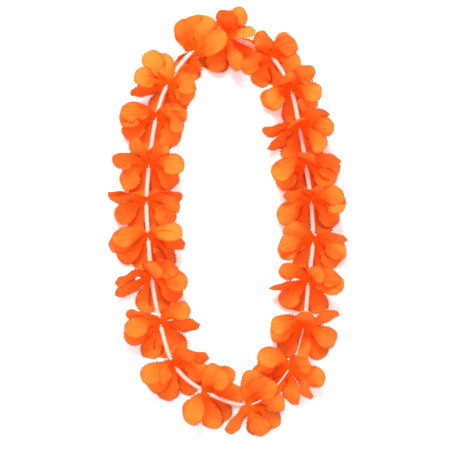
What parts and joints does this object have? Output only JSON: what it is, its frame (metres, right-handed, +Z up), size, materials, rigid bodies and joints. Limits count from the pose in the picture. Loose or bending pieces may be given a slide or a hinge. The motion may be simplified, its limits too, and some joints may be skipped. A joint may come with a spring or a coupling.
{
  "type": "artificial flower lei",
  "caption": "Fabric flower lei lying flat: pinked two-layer blossoms threaded on a closed string with short translucent straws between them.",
  "frame": {"origin": "on the table, under the middle of the lei's bounding box", "axes": "+Z up from the table, +Y towards the top of the long oval loop, +X to its right seen from above"},
  "size_m": [0.2734, 0.4918, 0.0563],
  "materials": {
    "petal_cloth": "matte woven cloth, lighter where it is lit and redder in its folds",
    "straw_plastic": "glossy translucent white",
    "string_thread": "matte twisted thread"
  },
  "bodies": {
    "root": {"string": "string_thread", "flower_01": "petal_cloth", "flower_02": "petal_cloth", "flower_03": "petal_cloth", "flower_04": "petal_cloth", "flower_05": "petal_cloth", "flower_06": "petal_cloth", "flower_07": "petal_cloth", "flower_08": "petal_cloth", "flower_09": "petal_cloth", "flower_10": "petal_cloth", "flower_11": "petal_cloth", "flower_12": "petal_cloth", "flower_13": "petal_cloth", "flower_14": "petal_cloth", "flower_15": "petal_cloth", "flower_16": "petal_cloth", "flower_17": "petal_cloth", "flower_18": "petal_cloth", "flower_19": "petal_cloth", "flower_20": "petal_cloth", "flower_21": "petal_cloth", "straw_01": "straw_plastic", "straw_02": "straw_plastic", "straw_03": "straw_plastic", "straw_04": "straw_plastic", "straw_05": "straw_plastic", "straw_06": "straw_plastic", "straw_07": "straw_plastic", "straw_08": "straw_plastic", "straw_11": "straw_plastic", "straw_12": "straw_plastic", "straw_13": "straw_plastic", "straw_14": "straw_plastic", "straw_15": "straw_plastic", "straw_16": "straw_plastic", "straw_17": "straw_plastic", "straw_18": "straw_plastic", "straw_19": "straw_plastic", "straw_20": "straw_plastic", "straw_21": "straw_plastic"}
  },
  "joints": []
}
